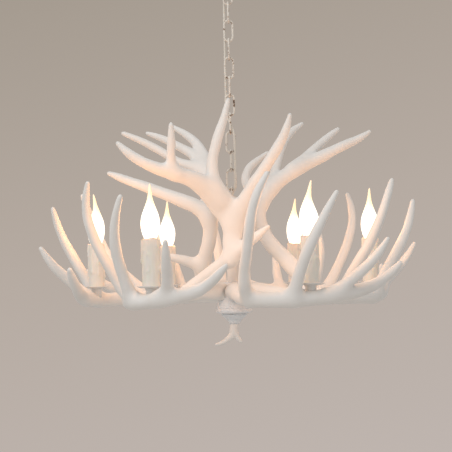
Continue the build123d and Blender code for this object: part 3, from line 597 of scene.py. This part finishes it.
def wax_sleeve(seed):
    """A candle sleeve: radius 16 mm plus drips, each a run of bell-shaped width that ends below in a bead.

    The parameters are the angle and the height from 0 at the pan to 1 at the rim; the rim strays by up to 1.3 mm.
    """
    rng = np.random.default_rng(seed)
    sides, rows = SLEEVE_SIDES, 60
    a = 2 * np.pi * np.arange(sides) / sides
    h = np.linspace(0, 1, rows)[:, None]
    radius = np.full((rows, sides), SLEEVE_RADIUS) + 0.25 * np.sin(3 * a + seed)[None] * h
    for _ in range(DRIPS):
        centre, width = rng.uniform(0, 2 * np.pi), rng.uniform(0.09, 0.2)
        low, size = rng.uniform(0.15, 0.88), rng.uniform(1.1, 2.2)
        away = (a - centre + np.pi) % (2 * np.pi) - np.pi
        bell = np.exp(-((away / width) ** 2))[None]
        run = 1 / (1 + np.exp(-(h - low) * 40))
        bead = 1.1 * np.exp(-(((h - low - 0.03) / 0.04) ** 2))
        radius = radius + size * bell * (0.55 * run + bead * 0.6)
    radius = np.minimum(radius, DRIP_LIMIT)
    rim = SLEEVE_HEIGHT + 0.8 * np.sin(2 * a + seed) + 0.5 * np.sin(5 * a + 2 * seed)
    z = h * rim[None] - 1.6 * np.maximum(0, h - 0.985) / 0.015
    outer = np.stack([radius * np.cos(a), radius * np.sin(a), np.broadcast_to(z, radius.shape)], -1)
    lip = np.stack([14.9 * np.cos(a), 14.9 * np.sin(a), rim - 0.6], -1)[None]
    inside = np.stack([SLEEVE_BORE * np.cos(a), SLEEVE_BORE * np.sin(a), rim - 4], -1)[None]
    foot = np.stack([SLEEVE_BORE * np.cos(a), SLEEVE_BORE * np.sin(a), np.full(sides, 0.0)], -1)[None]
    return np.concatenate([foot, outer, lip, inside, foot]) / 1000


CANDLE_SEAT = (0.133, -0.240)
PAN_TOP = 0.0266


def candle_place(slot_angle, yaw):
    """Where the candle stands: its seat point turned about the hub with its antler."""
    a = math.radians(slot_angle + yaw)
    x, y = CANDLE_SEAT
    return x * math.cos(a) - y * math.sin(a), x * math.sin(a) + y * math.cos(a)


NECK = [(5.3, 6), (10, 6), (10, 20.5), (12, 24.6), (12, 25), (5.3, 25)]
PAN = [
    (5.3, 25), (20.5, 25), (24, 26.6), (26.6, 27.8), (27, 28.2), (26.6, 28.5), (25.6, 28.3), (20.2, 26.6),
    (5.3, 26.6),
]
NECK_SIDES, PAN_SIDES = 48, 64
necks, pans = [], []
for slot_angle, yaw in SLOTS.values():
    centre = candle_place(slot_angle, yaw)
    necks.append(turned(NECK, NECK_SIDES, centre, LEVEL))
    pans.append(turned(PAN, PAN_SIDES, centre, LEVEL))
neck_faces = [f for i in range(len(SLOTS)) for f in grid_faces(len(NECK), NECK_SIDES, i * len(NECK) * NECK_SIDES)]
pan_faces = [f for i in range(len(SLOTS)) for f in grid_faces(len(PAN), PAN_SIDES, i * len(PAN) * PAN_SIDES)]
surface_piece("candle_necks_painted", np.concatenate(necks), neck_faces, enamel, "frame", "hub_plaster_paint",
              ["candle_necks"])
surface_piece("drip_pans_stamped", np.concatenate(pans), pan_faces, enamel, "frame", "pan_enamel", ["drip_pans"])
for seed, (name, (slot_angle, yaw)) in enumerate(SLOTS.items(), 3):
    x, y = candle_place(slot_angle, yaw)
    sleeve = wax_sleeve(seed) + np.array([x, y, LEVEL + PAN_TOP])
    ring_faces = [f for f in grid_faces(len(sleeve), SLEEVE_SIDES) if len(f) == 4]
    surface_piece(f"candle_sleeve_{name}_wax", sleeve, ring_faces, wax, "frame", "candle_wax",
                  [f"candle_sleeve_{name}"])

# --- Bulbs ---
# Opal candle bulbs on small screw caps, blown with a drawn-out tail like a bent flame, alight.
opal = bpy.data.materials.new("lit_opal_glass")
opal.use_nodes = True
tree = opal.node_tree
shader = tree.nodes["Principled BSDF"]
shader.inputs["Base Color"].default_value = linear("#FFF3DF")
shader.inputs["Roughness"].default_value = 0.12
up_tail = add_node(tree, "ShaderNodeAttribute", {"attribute_name": "up_the_flame"})
heat = add_node(tree, "ShaderNodeValToRGB", (), Fac=up_tail.outputs["Fac"])
heat.color_ramp.elements[0].position = 0.0
heat.color_ramp.elements[0].color = linear("#FFF4E2")
heat.color_ramp.elements[1].position = 1.0
heat.color_ramp.elements[1].color = linear("#C9A06E")
for position, colour in ((0.5, "#FFF8EA"), (0.68, "#FFE7A6"), (0.84, "#E9BE7C")):
    heat.color_ramp.elements.new(position).color = linear(colour)
tree.links.new(heat.outputs["Color"], shader.inputs["Emission Color"])
glow = add_node(tree, "ShaderNodeMapRange", {"From Min": 0.45, "From Max": 0.8, "To Min": 1.25, "To Max": 0.7},
                Value=up_tail.outputs["Fac"])
tree.links.new(glow.outputs["Result"], shader.inputs["Emission Strength"])

nickel = bpy.data.materials.new("nickelled_steel")
nickel.use_nodes = True
tree = nickel.node_tree
shader = tree.nodes["Principled BSDF"]
shader.inputs["Metallic"].default_value = 1.0
place = add_node(tree, "ShaderNodeTexCoord").outputs["Object"]
brushed = add_node(tree, "ShaderNodeTexNoise", {"Scale": 300.0, "Detail": 3.0}, Vector=place)
tone = add_node(tree, "ShaderNodeMix", {"data_type": "RGBA"}, Factor=brushed.outputs["Fac"])
tone.inputs[6].default_value = linear("#B9B7B2")
tone.inputs[7].default_value = linear("#CFCDC8")
tree.links.new(tone.outputs[2], shader.inputs["Base Color"])
polish = add_node(tree, "ShaderNodeMapRange", {"To Min": 0.28, "To Max": 0.42}, Value=brushed.outputs["Fac"])
tree.links.new(polish.outputs["Result"], shader.inputs["Roughness"])

# The flame's radius and height as shares of its own, and each tail's bend in mm and heading in degrees.
FLAME = [
    (0.3, 0.0), (0.42, 0.02), (0.62, 0.07), (0.8, 0.13), (0.93, 0.21), (1.0, 0.31), (0.96, 0.4), (0.83, 0.49),
    (0.65, 0.57), (0.47, 0.65), (0.33, 0.72), (0.24, 0.79), (0.18, 0.86), (0.13, 0.93), (0.08, 0.985),
    (0.02, 1.0),
]
TAILS = {
    "a": (5.5, 20.0), "b": (1.5, 100.0), "c": (4.0, 200.0), "d": (1.5, 60.0), "e": (3.5, -30.0), "f": (1.2, 10.0),
}
BULB_RADIUS, BULB_HEIGHT, BULB_SIDES, BULB_CAP_SIDES = 17.5, 107.0, 48, 32
BULB_FOOT, LAMP_HEIGHT = 0.1066, 0.145  # metres above the level of the beams


def flame_bulb(bend, heading):
    """A flame: the profile's radius by height t; its centre line leans back by 0.35*bend, then the tip forward."""
    profile = eased(np.array(FLAME), 5)
    a = 2 * np.pi * np.arange(BULB_SIDES) / BULB_SIDES
    t = profile[:, 1]
    r, h = profile[:, 0] * BULB_RADIUS, t * BULB_HEIGHT
    sway = bend * (np.clip((t - 0.7) / 0.3, 0, 1) ** 1.5 - 0.35 * np.sin(np.pi * np.clip((t - 0.35) / 0.45, 0, 1)))
    way = np.array([math.cos(math.radians(heading)), math.sin(math.radians(heading))])
    x = r[:, None] * np.cos(a) + sway[:, None] * way[0]
    y = r[:, None] * np.sin(a) + sway[:, None] * way[1]
    return np.stack([x, y, np.broadcast_to(h[:, None], x.shape)], -1) / 1000, t


CAP = [(2, 84.6), (6, 84.8), (6.9, 87), (6.4, 88.2), (6.9, 89.4), (6.4, 90.6), (6.9, 91.8), (6.4, 93), (6.9, 94.2),
       (6.9, 106.2), (2, 106.4)]
for name, (slot_angle, yaw) in SLOTS.items():
    x, y = candle_place(slot_angle, yaw)
    flame, share = flame_bulb(*TAILS[name])
    flame = flame + np.array([x, y, LEVEL + BULB_FOOT])
    bulb = surface_piece(f"bulb_{name}_glass", flame, grid_faces(len(flame), BULB_SIDES), opal, f"bulb_{name}",
                         "bulb_glass", [f"bulb_{name}"])
    up = bulb.data.attributes.new("up_the_flame", "FLOAT", "POINT")
    up.data.foreach_set("value", np.repeat(share, BULB_SIDES).astype(np.float32))
    bulb.visible_shadow = False
    cap = turned(CAP, BULB_CAP_SIDES, (x, y), LEVEL)
    cap_faces = grid_faces(len(CAP), BULB_CAP_SIDES)
    surface_piece(f"bulb_{name}_cap", cap, cap_faces, nickel, f"bulb_{name}", "zinc_steel")
    lamp = bpy.data.lights.new(f"lamp_{name}", "POINT")
    lamp.energy = 0.4
    lamp.shadow_soft_size = 0.028
    lamp.use_shadow_jitter = True
    lamp.color = (1.0, 0.42, 0.12)
    lamp_object = bpy.data.objects.new(f"lamp_{name}", lamp)
    lamp_object.location = (x, y, LEVEL + LAMP_HEIGHT)
    scene.collection.objects.link(lamp_object)

# --- Chain and loops ---
# Welded oval links and cast loops, painted cream and rubbed back to brown steel at the bends.
LINKS = 12
LINK_TOP, LINK_PITCH, LINK_HALF = -0.0531, 0.0378, 0.02115
worn = bpy.data.materials.new("rubbed_cream_paint_on_steel")
worn.use_nodes = True
tree = worn.node_tree
shader = tree.nodes["Principled BSDF"]
place = add_node(tree, "ShaderNodeTexCoord").outputs["Object"]
patches = add_node(tree, "ShaderNodeTexNoise", {"Scale": 95.0, "Detail": 5.0, "Roughness": 0.65}, Vector=place)
cover = add_node(tree, "ShaderNodeValToRGB", (), Fac=patches.outputs["Fac"])
cover.color_ramp.elements[0].position = 0.37
cover.color_ramp.elements[0].color = linear("#4F3D30")
cover.color_ramp.elements[1].position = 0.46
cover.color_ramp.elements[1].color = linear("#DDD6CB")
cover.color_ramp.elements.new(0.41).color = linear("#9A7F67")
tree.links.new(cover.outputs["Color"], shader.inputs["Base Color"])
shader.inputs["Roughness"].default_value = 0.5
bump = add_node(tree, "ShaderNodeBump", {"Strength": 0.5, "Distance": 0.0003}, Height=patches.outputs["Fac"])
tree.links.new(bump.outputs["Normal"], shader.inputs["Normal"])


def oval_link(top, edge_on, wire=2.1, radius=8.4, half=12.75):
    """A stadium of round wire: two half circles of the radius whose centres lie half above and half below, in mm.

    The wire's circle is carried round the path, square to it.
    """
    count, sides = 72, 14
    t = np.linspace(0, 1, count, endpoint=False)
    bow, leg = np.pi * radius, 2 * half
    s = t * (2 * bow + 2 * leg)
    x = np.empty(count)
    z = np.empty(count)
    spans = [s < bow, (s >= bow) & (s < bow + leg), (s >= bow + leg) & (s < 2 * bow + leg), s >= 2 * bow + leg]
    u = s[spans[0]] / radius
    x[spans[0]], z[spans[0]] = radius * np.cos(u), half + radius * np.sin(u)
    x[spans[1]], z[spans[1]] = -radius, half - (s[spans[1]] - bow)
    u = (s[spans[2]] - bow - leg) / radius
    x[spans[2]], z[spans[2]] = -radius * np.cos(u), -half - radius * np.sin(u)
    x[spans[3]], z[spans[3]] = radius, -half + (s[spans[3]] - 2 * bow - leg)
    path = np.stack([x, np.zeros(count), z], -1)
    along = np.roll(path, -1, 0) - np.roll(path, 1, 0)
    along /= np.linalg.norm(along, axis=1)[:, None]
    across = np.array([0, 1.0, 0])
    out = np.cross(along, across)
    a = 2 * np.pi * np.arange(sides) / sides
    circle = np.cos(a)[None, :, None] * out[:, None] + np.sin(a)[None, :, None] * across
    points = (path[:, None] + wire * circle) / 1000
    if edge_on:
        points = np.stack([-points[..., 1], points[..., 0], points[..., 2]], -1)
    points[..., 2] += top - (half + radius) / 1000
    i, k = np.meshgrid(np.arange(count), np.arange(sides), indexing="ij")
    ni, nk = (i + 1) % count, (k + 1) % sides
    quads = np.stack([i * sides + k, i * sides + nk, ni * sides + nk, ni * sides + k], -1).reshape(-1, 4)
    return points, quads.tolist()


for number in range(LINKS):
    points, quads = oval_link(LINK_TOP - number * LINK_PITCH, number % 2 == 0)
    surface_piece(f"chain_link_{number + 1:02d}_welded", points, quads, worn, f"link_{number + 1:02d}",
                  "chain_paint", [f"chain_link_{number + 1:02d}"])


def ring_loop(centre_z, edge_on, wire=2.5, radius=9.0):
    """A round loop: the torus radius*(cos, sin) with its wire's circle about it, stood up in its own plane."""
    round_ring, round_wire = 64, 18
    around = [2 * np.pi * np.arange(count) / count for count in (round_ring, round_wire)]
    t, a = np.meshgrid(*around, indexing="ij")
    out = radius + wire * np.cos(a)
    points = np.stack([out * np.cos(t), wire * np.sin(a), out * np.sin(t)], -1) / 1000
    if edge_on:
        points = np.stack([-points[..., 1], points[..., 0], points[..., 2]], -1)
    points[..., 2] += centre_z
    i, k = np.meshgrid(np.arange(round_ring), np.arange(round_wire), indexing="ij")
    ni, nk = (i + 1) % round_ring, (k + 1) % round_wire
    corners = [i * round_wire + k, i * round_wire + nk, ni * round_wire + nk, ni * round_wire + k]
    return points, np.stack(corners, -1).reshape(-1, 4).tolist()


for name, centre_z, boss_low, edge_on, body in (
    ("ceiling_loop", -0.049, -40.0, False, "ceiling_set"),
    ("body_loop", -0.5153, -534.3, True, "frame"),
):
    ring, ring_faces = ring_loop(centre_z, edge_on)
    boss = turned([(3.3, boss_low), (7.4, boss_low), (8, boss_low + 0.7), (8, boss_low + 8.6), (6.8, boss_low + 10),
                   (3.3, boss_low + 10)], 36)
    boss_faces = grid_faces(6, 36, ring.shape[0] * ring.shape[1])
    points = np.vstack([ring.reshape(-1, 3), boss.reshape(-1, 3)])
    surface_piece(f"{name}_cast", points, ring_faces + boss_faces, worn, body, "chain_paint", [name])

# --- Flex ---
# Pale two-core lamp flex, 4.5 mm, slipped down beside the chain: left of it above, through one link, right below.
# The tube is cut at the middle of each link into stretches.
pvc = bpy.data.materials.new("pale_pvc_sheath")
pvc.use_nodes = True
tree = pvc.node_tree
shader = tree.nodes["Principled BSDF"]
place = add_node(tree, "ShaderNodeTexCoord").outputs["Object"]
haze = add_node(tree, "ShaderNodeTexNoise", {"Scale": 120.0, "Detail": 2.0}, Vector=place)
tone = add_node(tree, "ShaderNodeMix", {"data_type": "RGBA"}, Factor=haze.outputs["Fac"])
tone.inputs[6].default_value = linear("#CFC6B8")
tone.inputs[7].default_value = linear("#E3DDD2")
tree.links.new(tone.outputs[2], shader.inputs["Base Color"])
shader.inputs["Roughness"].default_value = 0.3

FLEX_THICK, FLEX_SIDES = 0.0045, 16
CROSSED_LINK = 8
CROSSING = LINK_TOP - CROSSED_LINK * LINK_PITCH - LINK_HALF
ROUTE = [
    (-0.017, 0.008, -0.008), (-0.008, 0.008, -0.008), (-0.008, 0.008, -0.022), (-0.008, 0.008, -0.15),
    (-0.008, 0.008, CROSSING + 0.045), (-0.0075, 0.0075, CROSSING + 0.016), (0.0075, -0.0075, CROSSING - 0.016),
    (0.008, -0.008, CROSSING - 0.045), (0.008, -0.008, -0.488), (0.0078, -0.0078, -0.507), (0, 0, -0.5195),
    (0, 0, -0.54), (0, 0, -0.696),
]
curve = bpy.data.curves.new("flex_line", "CURVE")
curve.dimensions = "3D"
spline = curve.splines.new("NURBS")
spline.points.add(len(ROUTE) - 1)
spline.points.foreach_set("co", [v for p in ROUTE for v in (*p, 1.0)])
spline.order_u = 3
spline.use_endpoint_u = True
spline.resolution_u = 24
line = bpy.data.objects.new("flex_line", curve)
scene.collection.objects.link(line)
bpy.context.view_layer.update()
read = bpy.data.meshes.new_from_object(line.evaluated_get(bpy.context.evaluated_depsgraph_get()))
flex_line = np.empty(len(read.vertices) * 3, np.float32)
read.vertices.foreach_get("co", flex_line)
flex_line = flex_line.reshape(-1, 3).astype(float)
bpy.data.objects.remove(line)
LINK_MIDDLES = [LINK_TOP - k * LINK_PITCH - LINK_HALF for k in range(LINKS)]
cuts = [0.1, *LINK_MIDDLES, -1.0]
steps = np.r_[0, np.cumsum(np.linalg.norm(np.diff(flex_line, axis=0), axis=1))]


def at_height(z):
    """The distance along the flex where it passes the height z."""
    return float(np.interp(-z, -flex_line[3:, 2], steps[3:]))


for number in range(LINKS + 1):
    start = 0.0 if number == 0 else at_height(cuts[number])
    end = steps[-1] if number == LINKS else at_height(cuts[number + 1])
    along = np.linspace(start, end, max(16, int((end - start) / 0.0016)))
    path = [np.interp(along, steps, flex_line[:, k]) for k in range(3)]
    tube = carried(np.stack(path + [np.full(len(along), FLEX_THICK)] * 2, -1), FLEX_SIDES)
    piece = surface_piece(f"flex_stretch_{number + 1:02d}", tube, grid_faces(len(tube), FLEX_SIDES), pvc)
    if number == 0:
        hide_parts("supply_flex")
    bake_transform(piece)

# --- Ceiling fitting ---
# Spun steel canopy, painted, over a zinc-plated strap with the hollow hanger tube and a terminal block.
canopy_profile = [
    (58.6, 0), (60, 0), (60, -4), (58.5, -9), (53.5, -14.6), (47, -19), (37, -25.4), (30, -29), (25, -30),
    (5.3, -30),
    (5.3, -28.6), (25, -28.6), (30, -27.4), (46, -18), (57, -9), (58.6, -4), (58.6, -0.01),
]
CANOPY_SIDES = 96
canopy_faces = [f for f in grid_faces(len(canopy_profile), CANOPY_SIDES) if len(f) == 4]
surface_piece("canopy_spun", turned(canopy_profile, CANOPY_SIDES), canopy_faces, enamel, "ceiling_set",
              "canopy_paint", ["canopy"])

# Zinc plating: grey, fine-grained metal on the parts that stay in the dark.
zinc = bpy.data.materials.new("zinc_plated_steel")
zinc.use_nodes = True
tree = zinc.node_tree
shader = tree.nodes["Principled BSDF"]
shader.inputs["Metallic"].default_value = 1.0
place = add_node(tree, "ShaderNodeTexCoord").outputs["Object"]
spangle = add_node(tree, "ShaderNodeTexVoronoi", {"Scale": 220.0}, Vector=place)
tone = add_node(tree, "ShaderNodeMix", {"data_type": "RGBA"}, Factor=spangle.outputs["Distance"])
tone.inputs[6].default_value = linear("#A9A9A6")
tone.inputs[7].default_value = linear("#C4C4C0")
tree.links.new(tone.outputs[2], shader.inputs["Base Color"])
dull = add_node(tree, "ShaderNodeMapRange", {"To Min": 0.35, "To Max": 0.5}, Value=spangle.outputs["Distance"])
tree.links.new(dull.outputs["Result"], shader.inputs["Roughness"])

# Moulded urea plastic: off-white, slightly uneven gloss.
moulded = bpy.data.materials.new("moulded_urea_plastic")
moulded.use_nodes = True
tree = moulded.node_tree
shader = tree.nodes["Principled BSDF"]
place = add_node(tree, "ShaderNodeTexCoord").outputs["Object"]
skin_noise = add_node(tree, "ShaderNodeTexNoise", {"Scale": 150.0, "Detail": 3.0}, Vector=place)
tone = add_node(tree, "ShaderNodeMix", {"data_type": "RGBA"}, Factor=skin_noise.outputs["Fac"])
tone.inputs[6].default_value = linear("#D9D5CC")
tone.inputs[7].default_value = linear("#E6E3DC")
tree.links.new(tone.outputs[2], shader.inputs["Base Color"])
shader.inputs["Roughness"].default_value = 0.42

FINISHES = {
    "ceiling_bracket": zinc, "hanger_tube": zinc, "threaded_tube": zinc, "candle_nipples": zinc, "butt_studs": zinc,
    "seat_dowels": zinc, "spider_collar": enamel, "terminal_block": moulded, "lamp_holders": moulded,
}
for node_name, finish in FINISHES.items():
    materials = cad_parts[node_name].data.materials
    materials.clear()
    materials.append(finish)
